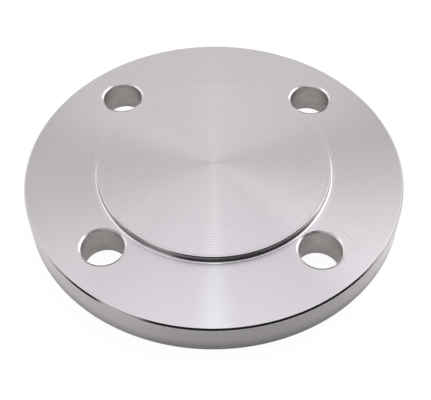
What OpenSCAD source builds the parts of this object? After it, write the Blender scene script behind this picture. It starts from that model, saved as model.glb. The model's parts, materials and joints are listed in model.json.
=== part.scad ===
// Blind pipe flange with a raised gasket face: one steel forging, turned all over and drilled.
// The origin is the centre of the back face, and +Z points out through the gasket face.

/* [Plate] */
// Outside diameter of the plate
plate_d = 165; // [146:1:185]
// Thickness of the plate behind the raised face
plate_t = 15; // [10:0.5:30]
// Chamfer turned on the front and back edges of the rim
rim_chamfer = 0.7; // [0.3:0.1:2]

/* [Raised face] */
// Diameter of the raised gasket face
face_d = 102; // [60:1:103]
// Height of the raised face above the plate
face_h = 3; // [2:0.5:6]
// Chamfer turned on the edge of the raised face
face_chamfer = 0.3; // [0.2:0.1:1]
// Radius of the fillet at the foot of the raised face
foot_fillet = 1; // [0.5:0.1:1.4]

/* [Gasket finish] */
// Step out from one turned groove to the next
groove_pitch = 0.825; // [0.75:0.025:1.6]
// Width of each groove at the face
groove_w = 0.7; // [0.4:0.05:0.75]
// Depth of each groove
groove_depth = 0.05; // [0.03:0.01:0.2]
// Plain band left between the outermost groove and the chamfer
edge_band = 1; // [0.5:0.25:5]
// Least radius of the plain spot left at the centre
centre_spot_r = 0.1; // [0.1:0.1:4]

/* [Bolt holes] */
// Number of bolt holes, evenly spaced and clear of the centre lines
bolt_count = 4; // [4:4:12]
// Diameter of the circle through the centres of the bolt holes
bolt_circle_d = 125; // [124:1:142]
// Diameter of each bolt hole
bolt_hole_d = 18; // [11:0.5:19]
// Width, across the face, of the chamfer at both ends of each bolt hole
hole_chamfer = 0.9; // [0.3:0.1:1.3]
// Depth of that chamfer along the hole: a 118 degree drill point leaves 0.6 of its width
hole_chamfer_depth = 0.54; // [0.2:0.02:1.3]

/* [Hidden] */
$fn = 180;
steel = [0.76, 0.75, 0.76];

plate_r = plate_d / 2;
face_r = face_d / 2;
face_z = plate_t + face_h;
hole_r = bolt_hole_d / 2;

// How far a cutter runs past the surface that it cuts
past = 1;
// How far the fillet's section reaches into the solid that carries it
bite = 0.2;

// Middle radius of the outermost groove, and how many grooves fit inside it
outer_groove_r = face_r - face_chamfer - edge_band - groove_w / 2;
groove_count = 1 + floor((outer_groove_r - groove_w / 2 - centre_spot_r) / groove_pitch);

// Three points of each groove's V, in order from the edge of the face to its centre
groove_points = [
    for (i = [0:groove_count - 1])
        let (r = outer_groove_r - i * groove_pitch)
            each [
                [r + groove_w / 2, face_z],
                [r, face_z - groove_depth],
                [r - groove_w / 2, face_z]
            ]
];

// Half section of the turned blank, from the axis out along the back and in along the front
blank_points = concat(
    [
        [0, 0],
        [plate_r - rim_chamfer, 0],
        [plate_r, rim_chamfer],
        [plate_r, plate_t - rim_chamfer],
        [plate_r - rim_chamfer, plate_t],
        [face_r, plate_t],
        [face_r, face_z - face_chamfer],
        [face_r - face_chamfer, face_z]
    ],
    groove_points,
    [[0, face_z]]
);

// Section of the fillet between the wall of the raised face and the plate
module fillet_section() {
    difference() {
        translate([face_r - bite, plate_t - bite])
            square(foot_fillet + bite);
        translate([face_r + foot_fillet, plate_t + foot_fillet])
            circle(r = foot_fillet);
    }
}

// Everything that is turned: plate, rim, raised face and its grooves
module turned_blank() {
    rotate_extrude() {
        polygon(blank_points);
        fillet_section();
    }
}

// Cutter for one bolt hole, chamfered at both faces of the plate
module bolt_hole() {
    mouth_r = hole_r + hole_chamfer;
    rotate_extrude()
        polygon([
            [0, -past],
            [mouth_r, -past],
            [mouth_r, 0],
            [hole_r, hole_chamfer_depth],
            [hole_r, plate_t - hole_chamfer_depth],
            [mouth_r, plate_t],
            [mouth_r, plate_t + past],
            [0, plate_t + past]
        ]);
}

// Bolt holes round the circle, with the centre lines midway between them
module bolt_holes() {
    for (i = [0:bolt_count - 1])
        rotate([0, 0, (i + 0.5) * 360 / bolt_count])
            translate([bolt_circle_d / 2, 0, 0])
                bolt_hole();
}

module flange() {
    color(steel)
        difference() {
            turned_blank();
            bolt_holes();
        }
}

flange();
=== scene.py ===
import json
import math
from collections import namedtuple
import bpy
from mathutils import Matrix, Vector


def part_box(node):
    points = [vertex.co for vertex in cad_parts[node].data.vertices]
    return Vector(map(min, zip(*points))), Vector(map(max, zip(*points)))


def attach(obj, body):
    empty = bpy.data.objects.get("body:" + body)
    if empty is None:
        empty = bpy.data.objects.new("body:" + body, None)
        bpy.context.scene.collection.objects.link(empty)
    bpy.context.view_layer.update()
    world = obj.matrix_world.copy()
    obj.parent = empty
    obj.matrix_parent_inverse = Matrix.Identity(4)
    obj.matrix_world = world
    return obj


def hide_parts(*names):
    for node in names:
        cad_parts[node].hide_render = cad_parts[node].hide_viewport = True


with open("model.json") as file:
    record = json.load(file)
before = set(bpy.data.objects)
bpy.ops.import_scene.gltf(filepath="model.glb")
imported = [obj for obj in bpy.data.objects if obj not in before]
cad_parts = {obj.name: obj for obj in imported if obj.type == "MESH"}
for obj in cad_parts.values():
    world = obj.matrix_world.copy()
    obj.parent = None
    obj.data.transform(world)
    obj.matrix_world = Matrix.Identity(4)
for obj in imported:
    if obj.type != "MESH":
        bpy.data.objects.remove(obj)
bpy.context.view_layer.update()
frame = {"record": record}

from types import SimpleNamespace

import bpy
from mathutils import Matrix, Vector
from mathutils.geometry import delaunay_2d_cdt

MM = 0.001

# Sizes that the frame gives: the overall box and the ring of bolt holes
HIGH_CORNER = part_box("flange")[1]
BOLTS = next(m["dims"] for m in frame["record"]["mounts"] if m["name"] == "bolt_holes")
PLATE_R = HIGH_CORNER.x
FACE_Z = HIGH_CORNER.z
HOLE_R = BOLTS["hole_r_mm"] * MM
BOLT_CIRCLE_R = BOLTS["pcd_mm"] * MM / 2
BOLT_COUNT = BOLTS["count"]

# Sizes of the turned section and of the holes, as the part's source has them
PLATE_T = 15 * MM
FACE_R = 51 * MM
RIM_CHAMFER = 0.7 * MM
FACE_CHAMFER = 0.3 * MM
FOOT_FILLET = 1.0 * MM
HOLE_CHAMFER = 0.9 * MM
HOLE_CHAMFER_DEPTH = 0.54 * MM
GROOVE_PITCH = 0.825 * MM
GROOVE_W = 0.7 * MM
EDGE_BAND = 1.0 * MM
CENTRE_SPOT_R = 0.1 * MM
OUTER_GROOVE_R = FACE_R - FACE_CHAMFER - EDGE_BAND - GROOVE_W / 2

# A groove's bottom is round here, where the source has a V, and shallower, so that its line is faint.
# Its section has these points, as shares of half its width.
GROOVE_DEPTH = 0.03 * MM
GROOVE_POINTS = (1, 0.5, 0, -0.5, -1)

# The tool leaves each corner broken by a hair. A narrow margin beside it keeps the flats flat.
CORNER_R = 0.1 * MM
MARGIN = 0.15 * MM

# How far each step of an arc turns, in a broken corner and in the fillet
CORNER_STEP = math.radians(22)
FILLET_STEP = math.radians(10)
FEWEST_STEPS = 2

# Points round the turned rings, round those of the face inside CENTRE_R, and round each hole
TURNED_POINTS = 192
CENTRE_POINTS = 64
CENTRE_R = 9 * MM
HOLE_POINTS = 96

# Points nearer to each other than this are one point when a flat face is filled
WELD = 1e-9

# How much of the noise's fine detail the tool marks and the clouds have
NOISE_DETAIL = 3.0

# Painted shade on the steel starts over this height. A speck is at full strength out to the first share
# of its radius, and gone at the second. Scratches and painted light arcs fade over this many degrees
# past each of their ends.
PAINTED_SHADE_START = 0.1 * MM
SPECK_CORE = 0.4
SPECK_END = 1.3
ARC_END_FADE = 3

# The camera, fitted to the photograph: it looks down past the flange from its front
LENS_MM = 69.45
SENSOR_MM = 36
CAMERA_TURN = math.radians(1.6)
CAMERA_DOWN = math.radians(49.952)
CAMERA_ROLL = math.radians(-0.5)
CAMERA_AT = Vector((0.63, -245.786, 285.1)) * MM

# The narrow lamp high behind the flange, which makes the streak of light across it.
# Its place and its half sizes are in degrees, seen from the flange, and its distance is in metres.
STREAK_AZIMUTH = 90.5
STREAK_ELEVATION = 79.6
STREAK_HALF_WIDE = 1.9
STREAK_HALF_LONG = 5
STREAK_DISTANCE = 1.2
STREAK_LEVEL = 2.15
STREAK_COLOUR = (0.86, 1.0, 0.96)

# The energy for each square metre of a lamp that gives it a level of 1
LAMP_ENERGY = 4

# The room: its level at the horizon, on its walls and what the ceiling adds, with the elevations
# between which one passes into the next
HORIZON_LEVEL = 0.95
WALL_LEVEL = 0.56
CEILING_LEVEL = 1.29
HORIZON_TO_WALL = (20.0, 30.0)
WALL_TO_CEILING = (40.0, 80.0)
WALL_COLOUR = (1.0, 1.0, 0.97, 1)
CEILING_COLOUR = (0.99, 1.0, 1.03, 1)
COLOUR_CHANGE = (38.0, 60.0)

# A patch of the room: its azimuths, counted in degrees from the photograph's right hand side, its
# elevations, half the width of its soft edge, and its level
Patch = namedtuple("Patch", "azimuths elevations edge level")

# Windows add their light to the wall behind them: right, back left, back, and high on the left
WINDOWS = [
    Patch((6, 56), (17, 62), 6, 1.86),
    Patch((124, 174), (18, 60), 3, 0.82),
    Patch((76, 104), (37, 47), 3, 0.5),
    Patch((152, 182), (44, 64), 4, 0.4),
]

# Cards hide what is behind them, the later ones in front
CARDS = [
    # Grey all across the front, and darker on its left
    Patch((-173, -8), (12, 78), 3, 0.75),
    Patch((-173, -120), (26, 44), 3, 0.42),
    # Black straight ahead, and higher on the right, with a light gap in the high part
    Patch((-121, -8), (-3, 57), 3, 0.02),
    Patch((-84, -8), (40, 66), 3, 0.03),
    Patch((-38, -14), (54, 63), 3, 0.75),
    # Black a little further to the left, low down
    Patch((-127, -100), (14, 44), 3, 0.02),
    # Grey low on the right and low on the left, with a black strip beside the left one
    Patch((-11, 3), (12, 34), 3, 0.3),
    Patch((-182, -164), (12, 34), 3, 0.35),
    Patch((-167, -149), (14, 40), 2, 0.0),
    # Light straight overhead
    Patch((-180, 180), (80, 100), 4, 1.25),
]

# The floor: half its side in metres, its paint, how brightly it glows by itself, and how much of what
# the camera and the glossy steel see of it is that glow
FLOOR_HALF = 4.0
FLOOR_PAINT = (0.9, 0.9, 0.9, 1)
FLOOR_GLOW = 1.03
FLOOR_OWN_WHITE = 0.92
FLOOR_GLOSSY_WHITE = 0.22


# Mesh

# A corner of a section: its place, the radius that breaks it, and the finish of the line leaving it
Corner = namedtuple("Corner", "r z radius finish")


class Builder:
    """Collects points and faces, each face with the name of its finish."""

    def __init__(self):
        self.points = []
        self.faces = []
        self.finishes = []

    def ring(self, r, z, count, centre=(0, 0)):
        """A circle of points about an upright axis, as a list of their numbers."""
        first = len(self.points)
        for i in range(count):
            angle = 2 * math.pi * i / count
            x = centre[0] + r * math.cos(angle)
            y = centre[1] + r * math.sin(angle)
            self.points.append((x, y, z))
        return list(range(first, first + count))

    def face(self, corners, finish):
        self.faces.append(corners)
        self.finishes.append(finish)

    def band(self, many, few, finish):
        """Faces between two rings. many has as many points as few, or a whole multiple of them."""
        ratio = len(many) // len(few)
        for j in range(len(few)):
            here = few[j]
            ahead = few[(j + 1) % len(few)]
            run = [many[(j * ratio + k) % len(many)] for k in range(ratio + 1)]
            if ratio == 1:
                self.face([run[0], run[1], ahead, here], finish)
                continue
            half = ratio // 2
            for k in range(half):
                self.face([run[k], run[k + 1], here], finish)
            self.face([run[half], ahead, here], finish)
            for k in range(half, ratio):
                self.face([run[k], run[k + 1], ahead], finish)

    def web(self, outer, inner_loops, up, finish):
        """A flat surface inside one loop and outside the others, which faces up or down."""
        loops = [outer] + inner_loops
        numbers = [p for loop in loops for p in loop]
        place = {p: k for k, p in enumerate(numbers)}
        edges = []
        for loop in loops:
            for k, p in enumerate(loop):
                edges.append((place[p], place[loop[(k + 1) % len(loop)]]))
        flat = [Vector(self.points[p][:2]) for p in numbers]
        # The filler covers the holes as well, and their triangles are left out below
        triangles = delaunay_2d_cdt(flat, edges, [], 0, WELD)[2]
        holes = [self.circle(loop) for loop in inner_loops]
        limit_centre, limit_r = self.circle(outer)
        for triangle in triangles:
            middle = sum((flat[k] for k in triangle), Vector((0, 0))) / 3
            if (middle - limit_centre).length > limit_r:
                continue
            if any((middle - centre).length < r for centre, r in holes):
                continue
            corners = [numbers[k] for k in triangle]
            self.face(corners if up else corners[::-1], finish)

    def circle(self, loop):
        """Centre and inner radius of a ring's polygon."""
        flat = [Vector(self.points[p][:2]) for p in loop]
        centre = sum(flat, Vector((0, 0))) / len(flat)
        return centre, (flat[0] - centre).length * math.cos(math.pi / len(flat))

    def mesh(self, name, materials):
        order = list(materials)
        mesh = bpy.data.meshes.new(name)
        mesh.from_pydata(self.points, [], self.faces)
        for key in order:
            mesh.materials.append(materials[key])
        for polygon, finish in zip(mesh.polygons, self.finishes):
            polygon.material_index = order.index(finish)
            polygon.use_smooth = True
        mesh.validate()
        mesh.update()
        return mesh


def rounded(corners):
    """A section's line with each inner corner broken by an arc, and a margin's end on each side of it.

    corners is a list of Corner values as plain tuples. The line has (r, z, finish) at each point.
    """
    corners = [Corner(*corner) for corner in corners]
    line = [(corners[0].r, corners[0].z, corners[0].finish)]
    for before, here, after in zip(corners, corners[1:], corners[2:]):
        point = Vector((here.r, here.z))
        back = (Vector((before.r, before.z)) - point).normalized()
        on = (Vector((after.r, after.z)) - point).normalized()
        opening = back.angle(on)
        reach = here.radius / math.tan(opening / 2)
        middle = point + (back + on).normalized() * here.radius / math.sin(opening / 2)
        start = point + back * reach
        end = point + on * reach
        step = CORNER_STEP if here.radius == CORNER_R else FILLET_STEP
        steps = max(FEWEST_STEPS, round((math.pi - opening) / step))
        first = point + back * (reach + MARGIN)
        line.append((first.x, first.y, before.finish))
        for k in range(steps + 1):
            arm = (start - middle).lerp(end - middle, k / steps).normalized() * here.radius
            spot = middle + arm
            line.append((spot.x, spot.y, before.finish if k < steps / 2 else here.finish))
        last = point + on * (reach + MARGIN)
        line.append((last.x, last.y, here.finish))
    line.append((corners[-1].r, corners[-1].z, corners[-1].finish))
    return line


def groove_line():
    """The grooves' section, from the band at the edge of the face in to its centre."""
    count = 1 + math.floor((OUTER_GROOVE_R - GROOVE_W / 2 - CENTRE_SPOT_R) / GROOVE_PITCH)
    line = []
    for i in range(count):
        middle = OUTER_GROOVE_R - i * GROOVE_PITCH
        for share in GROOVE_POINTS:
            depth = GROOVE_DEPTH * (1 - share * share)
            line.append((middle + share * GROOVE_W / 2, FACE_Z - depth))
    return line


def add_rings(build, line, count, centre=(0, 0)):
    """Rings through a section's line, joined by bands. Gives back the first and the last ring."""
    rings = [build.ring(r, z, count, centre) for r, z, finish in line]
    for this, following, (r, z, finish) in zip(rings, rings[1:], line):
        build.band(this, following, finish)
    return rings[0], rings[-1]


def add_gasket_face(build, edge):
    """The grooved face, from the ring at its edge to the spot at its centre."""
    previous = edge
    count = len(edge)
    for r, z in groove_line():
        if r < CENTRE_R:
            count = CENTRE_POINTS
        ring = build.ring(r, z, count)
        build.band(previous, ring, "gasket_face")
        previous = ring
    build.face(previous, "gasket_face")


def flange_mesh(materials):
    """The whole flange: its turned sections, the grooves, the holes, and the flats between them."""
    build = Builder()
    rim = [
        (PLATE_R - RIM_CHAMFER - CORNER_R - 2 * MARGIN, 0, 0, "back_face"),
        (PLATE_R - RIM_CHAMFER, 0, CORNER_R, "edge"),
        (PLATE_R, RIM_CHAMFER, CORNER_R, "rim"),
        (PLATE_R, PLATE_T - RIM_CHAMFER, CORNER_R, "edge"),
        (PLATE_R - RIM_CHAMFER, PLATE_T, CORNER_R, "plate_face"),
        (PLATE_R - RIM_CHAMFER - CORNER_R - 2 * MARGIN, PLATE_T, 0, "plate_face"),
    ]
    front = [
        (FACE_R + FOOT_FILLET + 2 * MARGIN, PLATE_T, 0, "plate_face"),
        (FACE_R, PLATE_T, FOOT_FILLET, "wall"),
        (FACE_R, FACE_Z - FACE_CHAMFER, CORNER_R, "edge"),
        (FACE_R - FACE_CHAMFER, FACE_Z, CORNER_R, "gasket_face"),
        (FACE_R - FACE_CHAMFER - EDGE_BAND / 2, FACE_Z, 0, "gasket_face"),
    ]
    mouth = HOLE_R + HOLE_CHAMFER
    hole = [
        (mouth + CORNER_R + MARGIN, PLATE_T, 0, "plate_face"),
        (mouth, PLATE_T, CORNER_R, "hole_edge"),
        (HOLE_R, PLATE_T - HOLE_CHAMFER_DEPTH, CORNER_R, "bore"),
        (HOLE_R, HOLE_CHAMFER_DEPTH, CORNER_R, "hole_edge"),
        (mouth, 0, CORNER_R, "back_face"),
        (mouth + CORNER_R + MARGIN, 0, 0, "back_face"),
    ]
    back_outer, plate_outer = add_rings(build, rounded(rim), TURNED_POINTS)
    plate_inner, face_edge = add_rings(build, rounded(front), TURNED_POINTS)
    add_gasket_face(build, face_edge)
    mouths = []
    ends = []
    for i in range(BOLT_COUNT):
        angle = 2 * math.pi * (i + 0.5) / BOLT_COUNT
        centre = (BOLT_CIRCLE_R * math.cos(angle), BOLT_CIRCLE_R * math.sin(angle))
        top, bottom = add_rings(build, rounded(hole), HOLE_POINTS, centre)
        mouths.append(top)
        ends.append(bottom)
    build.web(plate_outer, [plate_inner] + mouths, True, "plate_face")
    build.web(back_outer, ends, False, "back_face")
    return build.mesh("flange_finish", materials)


# Materials

class Nodes:
    """A short way to add shader nodes to a material or a world, and to wire them up."""

    def __init__(self, owner):
        owner.use_nodes = True
        self.tree = owner.node_tree
        self.tree.nodes.clear()

    def add(self, kind, inputs=None, **settings):
        node = self.tree.nodes.new(kind)
        for key, value in settings.items():
            setattr(node, key, value)
        for key, value in (inputs or {}).items():
            self.feed(node.inputs[key], value)
        return node

    def feed(self, socket, value):
        if isinstance(value, bpy.types.NodeSocket):
            self.tree.links.new(value, socket)
        else:
            socket.default_value = value

    def math(self, operation, *values):
        node = self.add("ShaderNodeMath", dict(enumerate(values)), operation=operation)
        return node.outputs[0]

    def vector(self, operation, *values):
        """A sum with vectors. A length or a distance is a number, and the rest are vectors."""
        node = self.add("ShaderNodeVectorMath", dict(enumerate(values)), operation=operation)
        return node.outputs["Value" if operation in ("LENGTH", "DISTANCE") else "Vector"]

    def xyz(self, vector):
        return self.add("ShaderNodeSeparateXYZ", {0: vector}).outputs

    def degrees_of_turn(self, x, y):
        """The angle about the upright axis, counted from X."""
        return self.math("MULTIPLY", self.math("ARCTAN2", y, x), math.degrees(1))

    def range(self, value, from_low, from_high, to_low, to_high, smooth=False):
        kind = "SMOOTHSTEP" if smooth else "LINEAR"
        inputs = {0: value, 1: from_low, 2: from_high, 3: to_low, 4: to_high}
        return self.add("ShaderNodeMapRange", inputs, interpolation_type=kind).outputs[0]


def speck(nodes, flat, x, y, radius, shade):
    """How much a small round mark darkens the steel. Its place and radius are in millimetres."""
    away = nodes.vector("DISTANCE", flat, (x * MM, y * MM, 0))
    core = radius * SPECK_CORE * MM
    end = radius * SPECK_END * MM
    return nodes.range(away, core, end, shade, 0.0, smooth=True)


def scratch_and_light_arc(nodes, flat, x, y, radius, first, last, width, shade):
    """How much an arc about the point x, y darkens the steel, in millimetres and degrees. It draws the
    scratches, and with a share below 0 the ring of painted light.
    """
    off = nodes.vector("SUBTRACT", flat, (x * MM, y * MM, 0))
    away = nodes.vector("LENGTH", off)
    beside = nodes.math("ABSOLUTE", nodes.math("SUBTRACT", away, radius * MM))
    line = nodes.range(beside, 0.0, width * MM, shade, 0.0, smooth=True)
    parts = nodes.xyz(off)
    angle = nodes.degrees_of_turn(parts[0], parts[1])
    past_middle = nodes.math("ABSOLUTE", nodes.math("SUBTRACT", angle, (first + last) / 2))
    half = (last - first) / 2
    ends = nodes.range(past_middle, half - ARC_END_FADE, half + ARC_END_FADE, 1.0, 0.0, smooth=True)
    return nodes.math("MULTIPLY", line, ends)


def film(nodes, height, low, high, shade):
    """How much a band of painted shade darkens the steel: most at its low edge, fading up to its high
    one.
    """
    body = nodes.range(height, low, high, shade, 0.0, smooth=True)
    start = nodes.range(height, low - PAINTED_SHADE_START, low, 0.0, 1.0)
    return nodes.math("MULTIPLY", body, start)


def steel(name, look):
    """A material of turned steel, from its look."""
    material = bpy.data.materials.new(name)
    nodes = Nodes(material)
    place = nodes.add("ShaderNodeTexCoord").outputs["Object"]
    x, y, height = nodes.xyz(place)
    flat = nodes.add("ShaderNodeCombineXYZ", {0: x, 1: y}).outputs[0]
    radius = nodes.vector("LENGTH", flat)

    # Tool marks and clouds, each as a noise from 0 to 1
    along = radius if look.marks == "rings" else height
    mark_inputs = {"W": along, "Scale": 1 / look.mark_step, "Detail": NOISE_DETAIL}
    marks = nodes.add("ShaderNodeTexNoise", mark_inputs, noise_dimensions="1D").outputs["Fac"]
    squashed = nodes.vector("MULTIPLY", place, (1, 1, look.cloud_squash))
    cloud_inputs = {"Vector": squashed, "Scale": 1 / look.cloud_size, "Detail": NOISE_DETAIL}
    cloud = nodes.add("ShaderNodeTexNoise", cloud_inputs).outputs["Fac"]

    # Shade, as a share of the steel's colour
    shade = nodes.math("MULTIPLY_ADD", marks, look.mark_shade, 1 - look.mark_shade / 2)
    cloud_off = nodes.math("SUBTRACT", cloud, 0.5)
    shade = nodes.math("MULTIPLY_ADD", cloud_off, look.cloud_shade, shade)
    # Painted shade in the bottoms of the grooves
    if look.groove_shade:
        turns = nodes.math("DIVIDE", nodes.math("SUBTRACT", radius, OUTER_GROOVE_R), GROOVE_PITCH)
        wave = nodes.math("COSINE", nodes.math("MULTIPLY", turns, 2 * math.pi))
        shade = nodes.math("MULTIPLY_ADD", wave, -look.groove_shade, shade)
    # A band of painted shade over a range of heights
    if look.film:
        shade = nodes.math("SUBTRACT", shade, film(nodes, height, *look.film))
    for mark in look.specks:
        shade = nodes.math("SUBTRACT", shade, speck(nodes, flat, *mark))
    # Scratches, and the ring of painted light, which has a share below 0
    for mark in look.scratches:
        shade = nodes.math("SUBTRACT", shade, scratch_and_light_arc(nodes, flat, *mark))
    tint = nodes.add("ShaderNodeVectorMath", {0: look.colour, "Scale": shade}, operation="SCALE")

    # Gloss and relief
    mark_off = nodes.math("SUBTRACT", marks, 0.5)
    rough = nodes.math("MULTIPLY_ADD", mark_off, look.mark_rough, look.rough)
    rough = nodes.math("MULTIPLY_ADD", cloud_off, look.cloud_rough, rough)
    bump = nodes.add("ShaderNodeBump", {"Height": marks, "Distance": look.mark_height, "Strength": 1.0})
    shader = nodes.add("ShaderNodeBsdfPrincipled", {
        "Base Color": tint.outputs[0],
        "Metallic": 1.0,
        "Roughness": rough,
        "Anisotropic": look.anisotropy,
        "Normal": bump.outputs[0],
    })
    if look.anisotropy:
        tangent = nodes.add("ShaderNodeTangent", direction_type="RADIAL", axis="Z")
        nodes.feed(shader.inputs["Tangent"], tangent.outputs[0])
        shader.inputs["Anisotropic Rotation"].default_value = look.turn
    nodes.add("ShaderNodeOutputMaterial", {0: shader.outputs[0]})
    return material


def steel_look(**changes):
    """A surface's look: that of the plate, with what is different on this surface."""
    look = dict(
        # Colour and roughness, and how far and which way the tool marks draw the gloss out
        colour=(0.615, 0.581, 0.604),
        rough=0.207,
        anisotropy=1.0,
        turn=0.25,
        # Tool marks, in rings about the axis or in layers along it: their step, and how much they
        # change the shade, the roughness and the height
        marks="rings",
        mark_step=0.25 * MM,
        mark_shade=0.03,
        mark_rough=0.04,
        mark_height=0.6e-6,
        # Broad soft clouds: their size, how much flatter than wide they are, and what they change
        cloud_size=30 * MM,
        cloud_squash=1,
        cloud_shade=0.03,
        cloud_rough=0.03,
        # How much painted shade darkens the bottoms of the grooves, and a band of painted shade with
        # its low and high edge and shade
        groove_shade=0,
        film=(),
        # Small marks and the ring of painted light, each as speck() and the arc function above take it
        specks=(),
        scratches=(),
    )
    look.update(changes)
    return SimpleNamespace(**look)


# Small marks seen in the photograph. A speck: place, radius, share of the shade that it takes.
# A scratch: the point that it runs round, its radius, first and last angle, width and share.
# A share below 0 makes the steel lighter.
PLATE_SPECKS = [
    (-24.1, 59.2, 1.0, 0.06),
    (54.0, 41.9, 0.5, 0.36),
    (40.9, 33.0, 0.5, 0.15),
]
PLATE_SCRATCHES = [
    (44.2, -44.2, 13.6, -5, 57, 0.35, 0.11),
    (44.2, -44.2, 15.5, 3, 14, 0.35, 0.11),
]
FACE_SPECKS = [
    (-4.6, 33.4, 0.5, 0.25),
    (-3.5, 31.5, 0.55, 0.2),
    (-4.6, 32.4, 0.5, -0.1),
    (2.0, 43.4, 0.5, -0.08),
]
FACE_SCRATCHES = [(0, 0, 32.4, 84.0, 88.0, 0.5, 0.15)]

# A faint ring of painted light on the plate, right round the foot of the raised face
PAINTED_LIGHT_RING = (0, 0, 52.4, -200, 200, 1.6, -0.08)

FINISHES = {
    "plate_face": steel_look(specks=PLATE_SPECKS, scratches=PLATE_SCRATCHES + [PAINTED_LIGHT_RING]),
    "gasket_face": steel_look(
        # The grooves' bottoms get painted shade
        colour=(0.625, 0.59, 0.614), rough=0.183, groove_shade=0.028,
        specks=FACE_SPECKS, scratches=FACE_SCRATCHES,
    ),
    "edge": steel_look(rough=0.12, anisotropy=0.0),
    "hole_edge": steel_look(colour=(0.57, 0.54, 0.56), rough=0.22, anisotropy=0.0, marks="layers"),
    "wall": steel_look(
        colour=(0.5, 0.475, 0.49), rough=0.17, anisotropy=0.3, marks="layers",
        # Painted shade on the lower part of the wall, darkest near its foot, fading up towards the face
        film=(PLATE_T + 0.62 * MM, PLATE_T + 2.6 * MM, 0.25),
    ),
    "rim": steel_look(
        colour=(0.655, 0.622, 0.642), rough=0.6, anisotropy=0.8, marks="layers",
        # Painted shade on the lower part of the rim, darkest where it meets the floor, fading up to 8
        # mm
        film=(0, 8 * MM, 0.3),
    ),
    "bore": steel_look(
        colour=(0.56, 0.518, 0.506), rough=0.36, anisotropy=0.0, marks="layers",
        mark_step=0.9 * MM, mark_shade=0.16, cloud_size=6 * MM, cloud_squash=3, cloud_shade=0.5,
    ),
    "back_face": steel_look(),
}


def add_object(name, data):
    """A new object in the scene, with this mesh, lamp or camera."""
    thing = bpy.data.objects.new(name, data)
    bpy.context.scene.collection.objects.link(thing)
    return thing


def build_flange():
    materials = {name: steel("steel_" + name, look) for name, look in FINISHES.items()}
    piece = add_object("flange_finish", flange_mesh(materials))
    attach(piece, "root")
    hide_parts("flange")


# Stage

def direction(azimuth, elevation):
    """A unit vector, with azimuth counted from the photograph's right hand side."""
    turn = math.radians(azimuth) + CAMERA_TURN
    rise = math.radians(elevation)
    return Vector((math.cos(rise) * math.cos(turn), math.cos(rise) * math.sin(turn), math.sin(rise)))


def add_streak_lamp():
    """The narrow lamp that makes the streak of light. It faces the flange."""
    data = bpy.data.lights.new("overhead_strip", "AREA")
    data.shape = "RECTANGLE"
    data.size = 2 * STREAK_DISTANCE * math.tan(math.radians(STREAK_HALF_WIDE))
    data.size_y = 2 * STREAK_DISTANCE * math.tan(math.radians(STREAK_HALF_LONG))
    data.energy = LAMP_ENERGY * STREAK_LEVEL * data.size * data.size_y
    data.color = STREAK_COLOUR
    lamp = add_object("overhead_strip", data)
    towards = direction(STREAK_AZIMUTH, STREAK_ELEVATION)
    lamp.location = towards * STREAK_DISTANCE
    lamp.rotation_euler = towards.to_track_quat("Z", "Y").to_euler()


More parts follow.
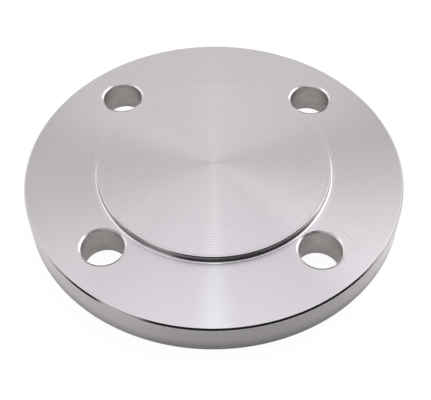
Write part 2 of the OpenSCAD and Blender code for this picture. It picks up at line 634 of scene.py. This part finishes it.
def add_world():
    """A pale room with windows, a bright ceiling and a dark front. The camera itself sees white."""
    world = bpy.data.worlds.new("room")
    bpy.context.scene.world = world
    nodes = Nodes(world)
    ray = nodes.add("ShaderNodeTexCoord").outputs["Generated"]
    turn_inputs = {"Vector": ray, "Angle": -CAMERA_TURN}
    turned = nodes.add("ShaderNodeVectorRotate", turn_inputs, rotation_type="Z_AXIS").outputs[0]
    x, y, z = nodes.xyz(turned)
    elevation = nodes.math("MULTIPLY", nodes.math("ARCSINE", z), math.degrees(1))
    azimuth = nodes.degrees_of_turn(x, y)

    def share_inside(value, low, high, edge):
        """1 between two angles and 0 outside them, with a soft edge at each."""
        off = nodes.math("SUBTRACT", value, (low + high) / 2)
        if value is azimuth:
            off = nodes.math("WRAP", off, 180.0, -180.0)
        off = nodes.math("ABSOLUTE", off)
        half = (high - low) / 2
        return nodes.range(off, half + edge, half - edge, 0.0, 1.0, smooth=True)

    def share(patch):
        """1 inside a patch of the room and 0 outside it."""
        across = share_inside(azimuth, *patch.azimuths, patch.edge)
        upright = share_inside(elevation, *patch.elevations, patch.edge)
        return nodes.math("MULTIPLY", across, upright)

    level = nodes.range(elevation, *HORIZON_TO_WALL, HORIZON_LEVEL, WALL_LEVEL, smooth=True)
    ceiling = nodes.range(elevation, *WALL_TO_CEILING, 0.0, CEILING_LEVEL, smooth=True)
    level = nodes.math("ADD", level, ceiling)
    for window in WINDOWS:
        level = nodes.math("MULTIPLY_ADD", share(window), window.level, level)
    for card in CARDS:
        change = nodes.math("SUBTRACT", card.level, level)
        level = nodes.math("MULTIPLY_ADD", share(card), change, level)
    cool = nodes.range(elevation, *COLOUR_CHANGE, 0.0, 1.0, smooth=True)
    mix_inputs = {0: cool, 6: WALL_COLOUR, 7: CEILING_COLOUR}
    colour = nodes.add("ShaderNodeMix", mix_inputs, data_type="RGBA").outputs[2]
    room = nodes.add("ShaderNodeBackground", {"Color": colour, "Strength": level})
    white = nodes.add("ShaderNodeBackground", {"Color": (1, 1, 1, 1), "Strength": 1.0})
    seen = nodes.add("ShaderNodeLightPath").outputs["Is Camera Ray"]
    blend = nodes.add("ShaderNodeMixShader", {0: seen, 1: room.outputs[0], 2: white.outputs[0]})
    nodes.add("ShaderNodeOutputWorld", {0: blend.outputs[0]})


def floor_material():
    """White paint that takes the shadow, mixed with a white glow so that the frame is white."""
    material = bpy.data.materials.new("floor_white")
    nodes = Nodes(material)
    paint = nodes.add("ShaderNodeBsdfDiffuse", {"Color": FLOOR_PAINT})
    glow = nodes.add("ShaderNodeEmission", {"Color": (1, 1, 1, 1), "Strength": FLOOR_GLOW})
    path = nodes.add("ShaderNodeLightPath").outputs
    seen = nodes.math("MAXIMUM", path["Is Camera Ray"], path["Is Transmission Ray"])
    share = nodes.math("MULTIPLY", seen, FLOOR_OWN_WHITE)
    share = nodes.math("MULTIPLY_ADD", path["Is Glossy Ray"], FLOOR_GLOSSY_WHITE, share)
    blend = nodes.add("ShaderNodeMixShader", {0: share, 1: paint.outputs[0], 2: glow.outputs[0]})
    nodes.add("ShaderNodeOutputMaterial", {0: blend.outputs[0]})
    return material


def add_floor():
    """A wide white floor at the level of the flange's back."""
    corners = [(x * FLOOR_HALF, y * FLOOR_HALF, 0) for x, y in ((-1, -1), (1, -1), (1, 1), (-1, 1))]
    mesh = bpy.data.meshes.new("floor")
    mesh.from_pydata(corners, [], [(0, 1, 2, 3)])
    mesh.materials.append(floor_material())
    floor = add_object("floor", mesh)


def add_camera():
    """The camera, which looks down on the flange as the photograph does."""
    data = bpy.data.cameras.new("camera")
    data.lens = LENS_MM
    data.sensor_width = SENSOR_MM
    camera = add_object("camera", data)
    turn = Matrix.Rotation(CAMERA_TURN, 4, "Z")
    tilt = Matrix.Rotation(math.pi / 2 - CAMERA_DOWN, 4, "X")
    roll = Matrix.Rotation(CAMERA_ROLL, 4, "Z")
    camera.matrix_world = turn @ Matrix.Translation(CAMERA_AT) @ tilt @ roll
    bpy.context.scene.camera = camera


def main():
    bpy.context.scene.view_settings.view_transform = "Standard"
    add_camera()
    add_world()
    add_streak_lamp()
    add_floor()
    build_flange()


main()
